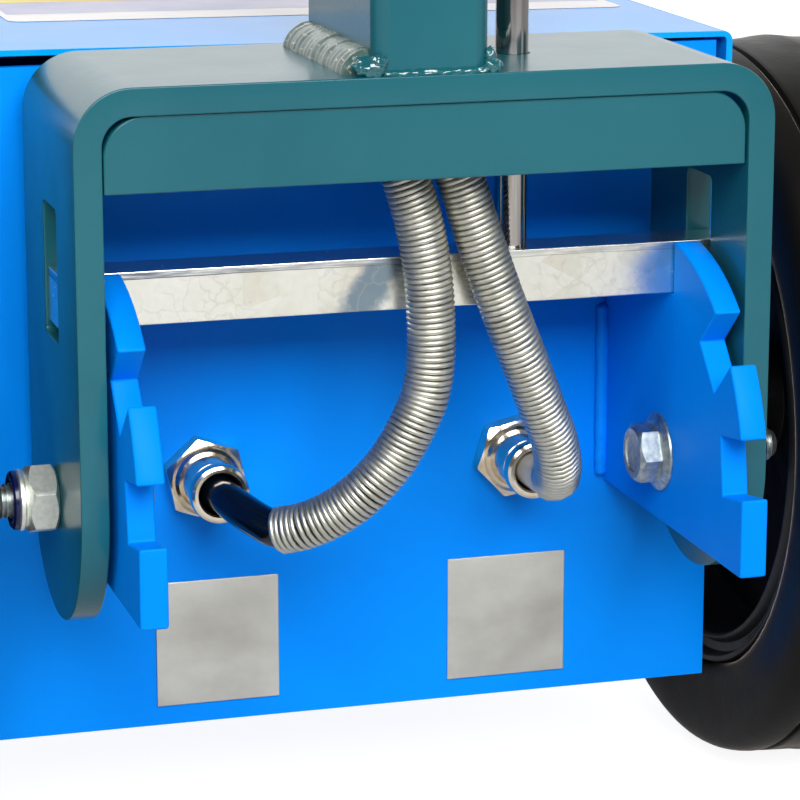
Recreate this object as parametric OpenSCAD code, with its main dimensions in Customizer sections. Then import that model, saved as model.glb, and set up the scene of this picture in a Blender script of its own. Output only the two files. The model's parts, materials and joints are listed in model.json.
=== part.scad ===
// Wheeled drain snake machine with a folding, locking push handle.
// X is the width, Y runs from the handle end to the cable outlet, Z is up.
// Lengths along Y are first counted from the rear edge of the handle yoke,
// and y_origin then centres the whole machine on the origin.

/* [Housing] */
// Width of the sheet metal housing
box_w = 295; // [285:1:320]
// Length of the housing from rear panel to front panel
box_d = 420; // [400:1:480]
// Height of the housing sides
box_h = 257.5; // [250:0.5:300]
// Height of the housing floor above the ground
base_z = 51; // [45:1:70]
// Thickness of the housing sheet
sheet_t = 2.5; // [2:0.5:4]
// Thickness of the rear panel
panel_t = 4; // [3:0.5:6]
// Distance from the yoke's rear edge to the rear panel
panel_y = 110; // [108:1:125]
// Gap between the housing sides and the lid's skirts
lid_side_gap = 3.5; // [1:0.5:5]
// Gap between the rear panel's top edge and the lid
lid_gap = 3; // [2.5:0.5:5]
// Thickness of the lid's sheet
lid_t = 2.2; // [2:0.1:4]
// Angle by which the lid leans down to the right
lid_lean = 0.6; // [0:0.1:0.8]
// Height of the lid's skirts
lid_skirt = 26; // [18:1:40]

/* [Yoke] */
// Outer width of the yoke
yoke_w = 253; // [250:1:262]
// Width of the yoke's flat bar
bar_w = 97; // [92:1:102]
// Thickness of the yoke's flat bar
bar_t = 10; // [8:0.5:12]
// Height of the yoke's top face
yoke_top = 315.5; // [314:0.5:330]
// Inner radius of the yoke's bends
bend_r = 10.5; // [8:0.5:18]
// Height of the fold pivot
pivot_z = 162.5; // [158:0.5:168]
// Height of the centre of the rounded leg ends
leg_end_z = 167; // [163:1:172]
// Height of the web plate under the yoke's top
web_h = 26.5; // [23:0.5:30]
// Thickness of the web plate
web_t = 10; // [6:1:12]
// Distance the web plate is set back from the yoke's rear edge
web_inset = 1.5; // [0.5:0.5:3]

/* [Lock] */
// Depth of the lock bar
lock_d = 19.5; // [18:0.5:21]
// Height of the lock bar
lock_h = 19.5; // [16:0.5:20]
// Distance from the fold pivot to the floor of each detent
detent_r = 62.7; // [61:0.1:64]
// Play of the lock bar in a detent and in the leg slots, each side
lock_play = 0.9; // [0.6:0.1:1.5]
// Extra width of the leg slots on their rear side
slot_slack = 3; // [0:0.5:4]
// Travel of the lock bar
lock_travel = 23; // [21:1:24]
// Diameter of the pull rod
rod_d = 12; // [10:0.5:14]
// Distance from the centre to the pull rod
rod_x = 43.7; // [42:0.1:46]
// Distance from the crossbar's axis down to the top of the pull knob
knob_drop = 53; // [50:1:120]

/* [Quadrant plates] */
// Thickness of each quadrant plate
quad_t = 10; // [8:0.5:12]
// Gap between each quadrant plate and the yoke's leg, which a washer fills
quad_gap = 3; // [2:0.5:5]
// Outer radius of the quadrant plates about the fold pivot
quad_r = 83; // [80:0.5:86]
// Angle of the middle detent
detent_mid = 47; // [44:1:50]
// Angle of the lowered detent
detent_low = 81; // [78:1:84]
// Diameter of the pivot bolts
bolt_d = 12.7; // [10:0.1:14]

/* [Handle] */
// Width of the handle tube
tube_w = 42; // [42:1:46]
// Depth of the handle tube
tube_d = 92; // [80:1:92]
// Wall of the handle tube
tube_wall = 3; // [2:0.5:3]
// Height of the top of the handle tube
tube_top = 880; // [860:1:1000]
// Length of the crossbar
crossbar_len = 380; // [300:5:440]
// Diameter of the crossbar
crossbar_d = 28; // [24:1:32]
// Length of each grip
grip_len = 118; // [90:1:130]

/* [Hoses and fittings] */
// Diameter of the hoses
hose_d = 13.4; // [12:0.1:13.4]
// Outer diameter of the spring guards
guard_d = 18; // [17.2:0.1:18.2]
// Distance from the centre to the left fitting
fit_left_x = 58.5; // [56.5:0.5:61]
// Distance from the centre to the right fitting
fit_right_x = 65.2; // [63.2:0.1:67.6]
// Height of the fittings
fit_z = 149.5; // [148:0.5:151]
// Width of the fitting's hexagon across its flats
fit_hex = 27; // [25:1:30]
// Outer diameter of the fitting's collar
fit_ring_d = 22.6; // [21:0.2:25]
// Width of each label plate
label_w = 48.5; // [30:0.5:50]
// Height of each label plate
label_h = 49.5; // [30:0.5:50]

/* [Wheels] */
// Diameter of the wheels
wheel_d = 300; // [290:2:310]
// Width of the tyres
tyre_w = 84; // [78:1:96]
// Distance from the housing side to the tyre
wheel_gap = 12.5; // [10:0.5:20]
// Distance of the axle in front of the yoke's rear edge
axle_y = 172; // [165:1:180]
// Diameter of the axle
axle_d = 16; // [14:1:18]
// Diameter of the rim's seat for the tyre
rim_d = 222; // [190:2:224]

/* [Drum and cable] */
// Height of the drum's axis above the middle of the housing
drum_z = 20.25; // [18.25:1:25.25]
// Outer diameter of the drum
drum_d = 190; // [170:1:195]
// Length of the drum
drum_len = 176; // [150:1:180]
// Diameter of the cable
cable_d = 12; // [8:0.5:14]
// Outer diameter of the outlet spigot
spigot_d = 38; // [36:1:44]
// Length of the outlet spigot in front of its cone
spigot_len = 38; // [30:1:50]

/* [Hidden] */

eps = 0.01;
run = 0.06; // radial clearance of a running fit
gap = 0.3; // clearance between pieces of different bodies

// Housing
side_x = box_w / 2;
box_top = base_z + box_h;
front_y = panel_y + box_d;
shell_r = sheet_t + 0.5;
lid_x = side_x + lid_side_gap + sheet_t;
lid_z = box_top + lid_gap;
motor_bay = 144;
bulkhead_lip = 18;
bulkhead_y = panel_y + motor_bay;
bulkhead_t = 4;
screw_inset = 60;
gland_back = 70;
gland_rise = 60;
gland_y = front_y - gland_back;
gland_z = base_z + gland_rise;
gland_r = 12;
gland_bore_r = 5.5;

// Yoke and lock
yoke_x = yoke_w / 2;
leg_x = yoke_x - bar_t;
pivot_y = bar_w / 2;
under_top = yoke_top - bar_t;
lock_z = pivot_z + detent_r + 0.2;
slot_w = lock_d + 2 * lock_play;
slot_low = lock_z - 4.5;
slot_high = lock_z + lock_h + lock_travel + 0.8;
lock_len = yoke_w - 2;
rod_hole_r = rod_d / 2 + 0.5;
tube_y = pivot_y - tube_d / 2;
quad_x = leg_x - quad_gap - quad_t;

// Pivot bolts
head_af = 20;
head_t = 8;
flange_d = 29.5;
flange_t = 3;
nut_af = 23;
nut_t = 11.5;
nut_x = yoke_x + gap;
bolt_tail = 10.8;
washer_r = 13;
bolt_end = nut_x + nut_t + bolt_tail;
bolt_room = 4; // least space between the pivot bolts' ends and the tyres
weld_len = 71;
weld_drop = 25.5;

// Fittings
fit_hex_t = 8;
fit_barrel_d = 20.6;
fit_len = 30;
fit_bore_r = hose_d / 2 + 1.1;
fit_stem_r = fit_bore_r + 1.2;
guard_bore_r = hose_d / 2 + 0.7;
label_t = 1;
label_z = base_z + 32.5;
label_left_x = 53.7;
label_right_x = 63.3;

// Handle top
crossbar_z = tube_top - 42;
crossbar_y = pivot_y + 14;
grip_d = 36;
box_head_h = 46;
box_head_w = 62;
head_cavity = 21;
button_well = 12;
button_d = 18;
button_travel = 4;
button_x = 15;
guide_w = 20;
guide_t = 8;
knob_z = crossbar_z - knob_drop;
guide_rise = 114.5;
guide_low_z = yoke_top + guide_rise;
guide_high_z = knob_z - 85;
collar_z = guide_high_z - 80;
collar_t = 8;
collar_d = 22;
spring_r = 9.4;

// Wheels and axle
wheel_r = wheel_d / 2;
wheel_x = max(side_x + wheel_gap, bolt_end + bolt_room);
hub_inner = side_x + 3;
hub_outer = wheel_x + tyre_w + 7;
hub_r = 24;
bush_r = 13;
axle_end = hub_outer + 16;
axle_nut_af = 24;
axle_nut_t = 11;
axle_washer_r = 17;
axle_washer_t = 2.5;

// Front legs
leg_inset_x = 42;
leg_inset_y = 50;
leg_s = 30;
foot_h = 12;
foot_d = 44;

// Drum and motor
drum_axis_z = base_z + box_h / 2 + drum_z;
drum_back = 24;
drum_y = bulkhead_y + bulkhead_t + drum_back;
drum_r = drum_d / 2;
drum_wall = 2.5;
coil_len = 100;
coil_inset = 14;
coil_depth = 44;
coil_start = drum_y + coil_inset;
coil_end = coil_start + coil_len;
spigot_wall = 3;
neck_r = spigot_d / 2 - spigot_wall - 1;
neck_bore = neck_r - 4;
shaft_r = 12.5;
shaft_flange = 14;
outlet_flange_r = 36;
bearing_r = 24;
bearing_t = 12;
cone_len = 20;
spigot_y = front_y + 6 + cone_len;
spigot_end = spigot_y + spigot_len;
tip_len = 34;
tip_y = spigot_end + 14;
motor_r = drum_axis_z - wheel_r - axle_d / 2 - 2;
motor_inset = 20;
motor_flange_t = 6;
fin_start = 34;
fin_len = 70;

// The whole machine is centred between its tooth tips and the cable's tip.
tooth_y = pivot_y - quad_r + 1;
reach_y = tip_y + tip_len;
y_origin = -(tooth_y + reach_y) / 2;

// Hose routes from the fittings, through the spring guards, up into the handle tube.
exit_left = [[-fit_left_x, panel_y - 4, fit_z], [-fit_left_x, panel_y - 18, fit_z]];
exit_right = [[fit_right_x, panel_y - 4, fit_z], [fit_right_x, panel_y - 18, fit_z]];
bend_left = [
    [-58, 80, 149.5], [-54.5, 68, 147.5], [-49.5, 57, 145], [-44, 48.5, 143.5],
    [-36, 42, 146.5], [-26, 37, 152], [-16, 33, 160.5], [-6.5, 31, 171.5], [0, 29.5, 183],
    [5, 29, 194], [7, 28.5, 205], [7.5, 28.5, 216], [7, 28.5, 230.5], [5.5, 28.5, 245],
    [2.5, 28.5, 260], [-1.8, 28.5, 274], [-6.8, 29.5, 290], [-9.2, 30.5, 302], [-9.2, 31, 316], [-9.2, 31, 345]
];
bend_right = [
    [65.3, 80, 149.5], [66.2, 68, 149.5], [65.5, 56, 154], [62.5, 47, 162.5], [58.5, 41, 173.5],
    [52, 36, 187], [43, 31, 207], [37, 29, 220.5], [32, 28.5, 233.5], [25, 28.5, 253],
    [18.9, 28.5, 272], [12.8, 29.5, 289], [9.7, 30.5, 301], [9.2, 31, 315], [9.2, 31, 345]
];
rise_z = [420, 520, 620, 720, 820];
rise_left = [for (z = rise_z) [-9.2, 31, z], [-9.2, 31, tube_top + head_cavity]];
rise_right = [for (z = rise_z) [9.2, 31, z], [9.2, 31, tube_top + head_cavity]];
guard_start_left = 3;
guard_end_left = 17;
guard_end_right = 12;
cable_route = [
    [66, coil_end + 1, drum_axis_z], [66, coil_end + 7, drum_axis_z], [60, coil_end + 18, drum_axis_z],
    [42, coil_end + 30, drum_axis_z], [22, coil_end + 42, drum_axis_z], [7, coil_end + 56, drum_axis_z],
    [0, coil_end + 74, drum_axis_z], [0, coil_end + 96, drum_axis_z], [0, tip_y, drum_axis_z]
];

// ---------- helpers ----------

module place() {
    translate([0, y_origin, 0]) children();
}

// Rectangle standing on y = 0, centred in x, with its two top corners rounded.
module arch(w, h, r) {
    intersection() {
        union() {
            translate([-w / 2, 0]) square([w, h - r]);
            translate([-w / 2 + r, 0]) square([w - 2 * r, h]);
            for (s = [-1, 1]) translate([s * (w / 2 - r), h - r]) circle(r = r, $fn = 96);
        }
        translate([-w / 2, 0]) square([w, h]);
    }
}

// Rectangle with four rounded corners, centred.
module rounded(w, d, r) {
    square([w - 2 * r, d], center = true);
    square([w, d - 2 * r], center = true);
    for (sx = [-1, 1], sy = [-1, 1]) translate([sx * (w / 2 - r), sy * (d / 2 - r)]) circle(r = r, $fn = 48);
}

// Extrudes an outline given in the X-Z plane from y0 towards +Y.
module along_y(y0, len) {
    translate([0, y0 + len, 0]) rotate([90, 0, 0]) linear_extrude(len) children();
}

// Extrudes an outline given in the Y-Z plane from x0 towards +X.
module along_x(x0, len) {
    translate([x0, 0, 0]) rotate([90, 0, 90]) linear_extrude(len) children();
}

// Round bar along X from x0, on the axis at y and z.
module bar_x(x0, len, y, z, r) {
    translate([x0, y, z]) rotate([0, 90, 0]) cylinder(r = r, h = len, $fn = 72);
}

// Round bar along Y from y0, on the axis at x and z.
module bar_y(x, y0, len, z, r) {
    translate([x, y0, z]) rotate([-90, 0, 0]) cylinder(r = r, h = len, $fn = 72);
}

// Hexagonal bar along X from x0.
module hex_x(x0, len, y, z, af) {
    translate([x0, y, z]) rotate([0, 90, 0]) cylinder(r = af / sqrt(3), h = len, $fn = 6);
}

// Revolved outline of [radius, length] points about the axis of a wheel on the +X side.
module turned_x(x0, y, z) {
    translate([x0, y, z]) rotate([0, 90, 0]) rotate_extrude($fn = 120) children();
}

// Revolved outline about the drum's axis, lengths running towards +Y.
module turned_y(y0) {
    translate([0, y0, drum_axis_z]) rotate([-90, 0, 0]) rotate_extrude($fn = 120) children();
}

module mirrored(side) {
    if (side > 0) children();
    else mirror([1, 0, 0]) children();
}

// Catmull-Rom point between b and c.
function spline(a, b, c, d, t) =
    0.5 * ((2 * b) + (c - a) * t + (2 * a - 5 * b + 4 * c - d) * t * t + (3 * b - a - 3 * c + d) * t * t * t);
function smooth(p, n) = concat(
    [for (i = [0:len(p) - 2], k = [0:n - 1])
        spline(p[max(i - 1, 0)], p[i], p[i + 1], p[min(i + 2, len(p) - 1)], k / n)],
    [p[len(p) - 1]]);
function unit(v) = v / norm(v);
function tangent(p, i) = unit(p[min(i + 1, len(p) - 1)] - p[max(i - 1, 0)]);
function ring(p, i, r, sides, ref) =
    let (t = tangent(p, i), u = unit(cross(ref, t)), v = cross(t, u))
    [for (k = [0:sides - 1]) p[i] + r * (cos(360 * k / sides) * u + sin(360 * k / sides) * v)];

// Side faces between consecutive rings, wound outwards, or inwards for a bore.
function skin(n, sides, start, inward) = [
    for (i = [0:n - 2], k = [0:sides - 1])
        let (
            a = start + i * sides + k,
            b = start + i * sides + (k + 1) % sides,
            c = b + sides,
            d = a + sides
        )
        inward ? [a, b, c, d] : [a, d, c, b]
];

// Solid tube of radius r along the points p.
module swept_rod(p, r, sides, ref) {
    n = len(p);
    rings = [for (i = [0:n - 1]) each ring(p, i, r, sides, ref)];
    first = [for (k = [0:sides - 1]) k];
    last = [for (k = [sides - 1:-1:0]) (n - 1) * sides + k];
    polyhedron(points = rings, faces = concat([first], skin(n, sides, 0, false), [last]));
}

// Hollow tube along the points p.
module swept_tube(p, r, bore, sides, ref) {
    n = len(p);
    m = n * sides;
    outer = [for (i = [0:n - 1]) each ring(p, i, r, sides, ref)];
    inner = [for (i = [0:n - 1]) each ring(p, i, bore, sides, ref)];
    start_cap = [for (k = [0:sides - 1]) let (j = (k + 1) % sides) [k, j, m + j, m + k]];
    end_cap = [
        for (k = [0:sides - 1])
            let (j = (k + 1) % sides, e = m - sides)
            [e + k, m + e + k, m + e + j, e + j]
    ];
    polyhedron(
        points = concat(outer, inner),
        faces = concat(start_cap, skin(n, sides, 0, false), skin(n, sides, m, true), end_cap)
    );
}

// ---------- housing ----------

// Section of the housing's inside, with its two bottom corners rounded.
module inside_section(h) {
    translate([0, base_z + sheet_t]) mirror([0, 1]) translate([0, -h])
        arch(box_w - 2 * sheet_t, h, shell_r - sheet_t);
}

module housing_shell() {
    color("dodgerblue") place() difference() {
        along_y(panel_y + panel_t, box_d - 2 * panel_t) difference() {
            translate([0, base_z]) mirror([0, 1]) translate([0, -box_h]) arch(box_w, box_h, shell_r);
            inside_section(box_h);
        }
        bar_x(-side_x - 1, box_w + 2, axle_y, wheel_r, axle_d / 2);
        bar_x(-side_x - 1, 10, gland_y, gland_z, gland_r);
    }
}

module rear_panel() {
    color("dodgerblue") place() difference() {
        along_y(panel_y, panel_t) translate([-side_x, base_z]) square([box_w, box_h]);
        bar_y(-fit_left_x, panel_y - 1, panel_t + 2, fit_z, fit_stem_r);
        bar_y(fit_right_x, panel_y - 1, panel_t + 2, fit_z, fit_stem_r);
    }
}

module front_panel() {
    color("dodgerblue") place() difference() {
        along_y(front_y - panel_t, panel_t) translate([-side_x, base_z]) square([box_w, box_h]);
        bar_y(0, front_y - panel_t - 1, panel_t + 2, drum_axis_z, bearing_r);
    }
}

// Leans the lid about the middle of its underside.
module leaning() {
    translate([0, 0, lid_z]) rotate([0, lid_lean, 0]) translate([0, 0, -lid_z]) children();
}

module lid() {
    color("dodgerblue") place() union() {
        leaning() {
            difference() {
                along_y(panel_y - 2, box_d + 4) difference() {
                    translate([0, lid_z + lid_t - lid_skirt]) arch(2 * lid_x, lid_skirt, 4);
                    translate([0, lid_z + lid_t - lid_skirt - 1])
                        arch(2 * lid_x - 2 * sheet_t, lid_skirt - lid_t + 1, 1.5);
                }
                for (y = [panel_y + screw_inset, front_y - screw_inset])
                    bar_x(-lid_x - 1, 2 * lid_x + 2, y, box_top - 11, 2.6);
            }
            // turned-down front lip
            translate([-lid_x, front_y + 1, lid_z + lid_t - lid_skirt]) cube([2 * lid_x, sheet_t, lid_skirt]);
        }
        // seat rails that rest on the housing sides
        for (s = [-1, 1])
            translate([s * (side_x - 4) - 4, panel_y + 12, box_top])
                cube([8, box_d - 24, lid_gap - s * side_x * tan(lid_lean) + lid_t / 2]);
    }
}

module lid_screws() {
    color("silver") place() leaning()
        for (s = [-1, 1], y = [panel_y + screw_inset, front_y - screw_inset]) mirrored(s) {
            hex_x(lid_x, 3.5, y, box_top - 11, 8);
            bar_x(side_x + gap, lid_x - side_x - gap, y, box_top - 11, 2.5);
        }
}

module bulkhead() {
    color("dodgerblue") place() difference() {
        union() {
            along_y(bulkhead_y, bulkhead_t) inside_section(box_h - sheet_t - 8);
            translate([-side_x + 3 * sheet_t, bulkhead_y + bulkhead_t - eps, base_z + sheet_t])
                cube([box_w - 6 * sheet_t, bulkhead_lip, sheet_t]);
        }
        bar_y(0, bulkhead_y - 1, bulkhead_t + 2, drum_axis_z, bearing_r);
    }
}

// ---------- quadrant plates ----------

// Outline in the Y-Z plane: a disc sector about the pivot on a base plate, with one
// detent for each handle position.
module quadrant_outline() {
    foot_z = pivot_z - 26.5;
    difference() {
        union() {
            intersection() {
                translate([pivot_y, pivot_z]) circle(r = quad_r, $fn = 180);
                translate([tooth_y, pivot_z]) square([pivot_y - tooth_y, quad_r]);
            }
            translate([tooth_y, foot_z]) square([panel_y - tooth_y, pivot_z - foot_z + 4]);
            polygon([
                [pivot_y - 1, pivot_z],
                [panel_y, pivot_z],
                [panel_y, pivot_z + 48],
                [pivot_y + slot_w / 2 + 5, pivot_z + detent_r + 7],
                [pivot_y - 1, pivot_z + detent_r + 7]
            ]);
        }
        for (a = [0, detent_mid, detent_low])
            translate([pivot_y, pivot_z]) rotate(a) translate([-slot_w / 2, detent_r]) square([slot_w, quad_r]);
        translate([pivot_y, pivot_z]) circle(d = bolt_d + 0.2, $fn = 72);
    }
}

module quadrant_plate(side) {
    color("dodgerblue") place() mirrored(side) along_x(quad_x, quad_t) quadrant_outline();
}

module quadrant_plate_left() { quadrant_plate(-1); }
module quadrant_plate_right() { quadrant_plate(1); }

// Fillet welds between the quadrant plates and the rear panel.
module quadrant_welds() {
    leg = 5;
    color("dodgerblue") place()
        for (s = [-1, 1]) mirrored(s)
            translate([quad_x, panel_y, pivot_z - weld_drop]) linear_extrude(weld_len) {
                polygon([[0, 0], [-leg, 0], [0, -leg]]);
                translate([quad_t, 0]) polygon([[0, 0], [leg, 0], [0, -leg]]);
            }
}

module pivot_bolt(side) {
    color("silver") place() mirrored(side) {
        difference() {
            hex_x(quad_x - flange_t - head_t, head_t + eps, pivot_y, pivot_z, head_af);
            bar_x(quad_x - flange_t - head_t - 1, 2.2, pivot_y, pivot_z, 5);
        }
        bar_x(quad_x - flange_t, flange_t, pivot_y, pivot_z, flange_d / 2);
        bar_x(quad_x - eps, bolt_end - quad_x, pivot_y, pivot_z, bolt_d / 2);
    }
}

module pivot_bolt_left() { pivot_bolt(-1); }
module pivot_bolt_right() { pivot_bolt(1); }

// Lock nut: hexagon with a round collar that holds the locking ring.
module pivot_nut(side) {
    color("silver") place() mirrored(side) difference() {
        union() {
            hex_x(nut_x, nut_t, pivot_y, pivot_z, nut_af);
            bar_x(nut_x + nut_t - eps, 5, pivot_y, pivot_z, nut_af / 2 - 0.6);
        }
        bar_x(nut_x - 1, nut_t + 8, pivot_y, pivot_z, bolt_d / 2);
    }
}

module pivot_nut_left() { pivot_nut(-1); }
module pivot_nut_right() { pivot_nut(1); }

module pivot_washers() {
    color("silver") place()
        for (s = [-1, 1]) mirrored(s) difference() {
            bar_x(quad_x + quad_t, quad_gap - gap, pivot_y, pivot_z, washer_r);
            bar_x(quad_x + quad_t - 1, quad_gap + 2, pivot_y, pivot_z, bolt_d / 2 + 0.2);
        }
}

// ---------- fittings and plates on the rear panel ----------

module hose_fitting(x) {
    color("tan") place() difference() {
        union() {
            translate([x, panel_y, fit_z]) rotate([90, 0, 0])
                cylinder(r = fit_hex / sqrt(3), h = fit_hex_t, $fn = 6);
            bar_y(x, panel_y - fit_len + 6, fit_len - 6 - fit_hex_t + eps, fit_z, fit_barrel_d / 2);
            bar_y(x, panel_y - fit_len, 5, fit_z, fit_ring_d / 2);
            bar_y(x, panel_y - fit_len + 5 - eps, 1 + 2 * eps, fit_z, fit_ring_d / 2 - 2);
            bar_y(x, panel_y, panel_t, fit_z, fit_stem_r);
            bar_y(x, panel_y + panel_t, 7, fit_z, fit_barrel_d / 2 + 2);
        }
        bar_y(x, panel_y - fit_len - 1, fit_len + 30, fit_z, fit_bore_r);
    }
}

module hose_fitting_left() { hose_fitting(-fit_left_x); }
module hose_fitting_right() { hose_fitting(fit_right_x); }

module label_plate(x) {
    color("lightgrey") place()
        translate([x - label_w / 2, panel_y - label_t, label_z - label_h / 2]) cube([label_w, label_t, label_h]);
}

module label_plate_left() { label_plate(-label_left_x); }
module label_plate_right() { label_plate(label_right_x); }

// ---------- axle, legs and feet ----------

module axle() {
    color("silver") place() bar_x(-axle_end, 2 * axle_end, axle_y, wheel_r, axle_d / 2);
}

module axle_nuts() {
    color("silver") place()
        for (s = [-1, 1]) mirrored(s) difference() {
            union() {
                bar_x(hub_outer + gap, axle_washer_t, axle_y, wheel_r, axle_washer_r);
                hex_x(hub_outer + gap + axle_washer_t - eps, axle_nut_t, axle_y, wheel_r, axle_nut_af);
            }
            bar_x(hub_outer, axle_washer_t + axle_nut_t + 2, axle_y, wheel_r, axle_d / 2);
        }
}

module front_leg(side) {
    color("dodgerblue") place() mirrored(side)
        translate([side_x - leg_inset_x - leg_s / 2, front_y - leg_inset_y - leg_s / 2, foot_h]) difference() {
            cube([leg_s, leg_s, base_z - foot_h]);
            translate([3, 3, 4]) cube([leg_s - 6, leg_s - 6, base_z - foot_h]);
        }
}

module front_leg_left() { front_leg(-1); }
module front_leg_right() { front_leg(1); }

module foot(side) {
    color("black") place() mirrored(side)
        translate([side_x - leg_inset_x, front_y - leg_inset_y, 0])
            cylinder(d1 = foot_d, d2 = foot_d - 4, h = foot_h, $fn = 72);
}

module foot_left() { foot(-1); }
module foot_right() { foot(1); }

// ---------- motor, bearings, outlet ----------

module motor() {
    color("dimgray") place() {
        difference() {
            union() {
                bar_y(0, panel_y + motor_inset, motor_bay - motor_inset - motor_flange_t, drum_axis_z, motor_r);
                bar_y(0, bulkhead_y - motor_flange_t - eps, motor_flange_t + eps, drum_axis_z, motor_r + 10);
            }
            for (a = [0:30:330])
                translate([0, panel_y + fin_start, drum_axis_z]) rotate([0, a, 0])
                    translate([motor_r - 2.5, 0, -2]) cube([6, fin_len, 4]);
        }
        bar_y(0, panel_y + 13, 7 + eps, drum_axis_z, 14);
    }
}

module drum_bearings() {
    color("silver") place() {
        difference() {
            bar_y(0, bulkhead_y, bearing_t, drum_axis_z, bearing_r);
            bar_y(0, bulkhead_y - 1, bearing_t + 2, drum_axis_z, shaft_r + run);
        }
        difference() {
            bar_y(0, front_y - bearing_t, bearing_t, drum_axis_z, bearing_r);
            bar_y(0, front_y - bearing_t - 1, bearing_t + 2, drum_axis_z, neck_r + run);
        }
    }
}

module outlet_tube() {
    wall = spigot_wall;
    mouth = spigot_d / 2;
    color("dimgray") place() turned_y(front_y)
        polygon([
            [mouth - wall, 0], [outlet_flange_r, 0], [outlet_flange_r, 6], [mouth + 6, 6], [mouth, 6 + cone_len],
            [mouth, spigot_end - front_y - 1], [mouth - 1, spigot_end - front_y], [mouth - wall, spigot_end - front_y]
        ]);
}

// Empty cable gland for the mains lead, in the left side of the housing.
module cable_gland() {
    color("black") place() mirror([1, 0, 0]) difference() {
        union() {
            bar_x(side_x - sheet_t, sheet_t, gland_y, gland_z, gland_r);
            hex_x(side_x, 6, gland_y, gland_z, 30);
            bar_x(side_x + 6 - eps, 4, gland_y, gland_z, gland_r + 1);
            translate([side_x + 10 - 2 * eps, gland_y, gland_z]) rotate([0, 90, 0])
                cylinder(r1 = gland_r + 1, r2 = gland_bore_r + 2, h = 8, $fn = 72);
            hex_x(side_x - sheet_t - 5, 5, gland_y, gland_z, 28);
        }
        bar_x(side_x - 20, 60, gland_y, gland_z, gland_bore_r);
    }
}

// ---------- handle ----------

module yoke() {
    slot_mid = pivot_y - slot_slack / 2;
    color("teal") place() difference() {
        intersection() {
            translate([0, 0, 0]) along_y(0, bar_w) difference() {
                arch(yoke_w, yoke_top, bend_r + bar_t);
                translate([0, -1]) arch(yoke_w - 2 * bar_t, under_top + 1, bend_r);
            }
            along_x(-yoke_x - 1, yoke_w + 2) union() {
                translate([0, leg_end_z]) square([bar_w, yoke_top]);
                translate([bar_w / 2, leg_end_z]) circle(d = bar_w, $fn = 120);
            }
        }
        // lock bar slots and pivot holes in both legs
        along_x(-yoke_x - 1, yoke_w + 2) translate([slot_mid, (slot_low + slot_high) / 2])
            rounded(slot_w + slot_slack, slot_high - slot_low, 2.5);
        bar_x(-yoke_x - 1, yoke_w + 2, pivot_y, pivot_z, bolt_d / 2 + run);
        // openings in the top for the hoses and the pull rod
        translate([-tube_w / 2 + tube_wall, 14, under_top - 1]) cube([tube_w - 2 * tube_wall, 36, bar_t + 2]);
        translate([rod_x, pivot_y, under_top - 1]) cylinder(r = rod_hole_r, h = bar_t + 2, $fn = 60);
    }
}

module web_plate() {
    w = yoke_w - 2 * bar_t - 1.2;
    color("teal") place() along_y(web_inset, web_t) translate([0, under_top - web_h]) arch(w, web_h, bend_r + 4);
}

module handle_tube() {
    color("teal") place() difference() {
        translate([0, pivot_y, yoke_top]) linear_extrude(tube_top - yoke_top) difference() {
            rounded(tube_w, tube_d, 5.5);
            rounded(tube_w - 2 * tube_wall, tube_d - 2 * tube_wall, 5.5 - tube_wall);
        }
        bar_x(-tube_w, 2 * tube_w, crossbar_y, crossbar_z, crossbar_d / 2);
    }
}

// Fillet welds round the foot of the handle tube.
module base_welds() {
    big = 9.5;
    small = 3;
    thin = 2;
    color("teal") place() {
        translate([-tube_w / 2, tube_y + tube_d - 4, yoke_top]) rotate([90, 0, 0]) linear_extrude(tube_d - 8)
            polygon([[0, 0], [0, big], [-big, 0]]);
        translate([tube_w / 2, tube_y + tube_d - 4, yoke_top]) rotate([90, 0, 0]) linear_extrude(tube_d - 8)
            polygon([[0, 0], [small, 0], [0, small]]);
        translate([-tube_w / 2 + 5, tube_y, yoke_top]) rotate([90, 0, 90]) linear_extrude(tube_w - 10)
            polygon([[0, 0], [0, thin], [-thin, 0]]);
        translate([-tube_w / 2 + 5, tube_y + tube_d, yoke_top]) rotate([90, 0, 90]) linear_extrude(tube_w - 10)
            polygon([[0, 0], [thin, 0], [0, thin]]);
    }
}

module crossbar() {
    color("teal") place() difference() {
        bar_x(-crossbar_len / 2, crossbar_len, crossbar_y, crossbar_z, crossbar_d / 2);
        bar_x(-crossbar_len / 2 - 1, crossbar_len + 2, crossbar_y, crossbar_z, crossbar_d / 2 - 2.5);
    }
}

module grip(side) {
    end = crossbar_len / 2;
    rib_pitch = 13;
    ribs = floor((grip_len - 14) / rib_pitch);
    color("black") place() mirrored(side) turned_x(0, crossbar_y, crossbar_z)
        polygon(concat(
            [[crossbar_d / 2, end - grip_len], [grip_d / 2 + 3, end - grip_len], [grip_d / 2 + 3, end - grip_len + 4]],
            [for (i = [0:ribs - 1]) each [
                [grip_d / 2, end - grip_len + 8 + i * rib_pitch],
                [grip_d / 2, end - grip_len + 15 + i * rib_pitch],
                [grip_d / 2 - 1, end - grip_len + 16 + i * rib_pitch],
                [grip_d / 2 - 1, end - grip_len + 20 + i * rib_pitch]
            ]],
            [[grip_d / 2 - 1, end], [grip_d / 2 - 4, end + 4], [0, end + 4], [0, end], [crossbar_d / 2, end]]
        ));
}

module grip_left() { grip(-1); }
module grip_right() { grip(1); }

// Bracket on the side of the handle tube that guides the pull rod.
module rod_guide(z) {
    reach = rod_x + guide_w / 2;
    color("teal") place() difference() {
        union() {
            translate([tube_w / 2, pivot_y - guide_w / 2, z]) cube([rod_x - tube_w / 2, guide_w, guide_t]);
            translate([rod_x, pivot_y, z]) cylinder(r = guide_w / 2, h = guide_t, $fn = 72);
        }
        translate([rod_x, pivot_y, z - 1]) cylinder(r = rod_d / 2 + run, h = guide_t + 2, $fn = 72);
    }
}

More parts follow.
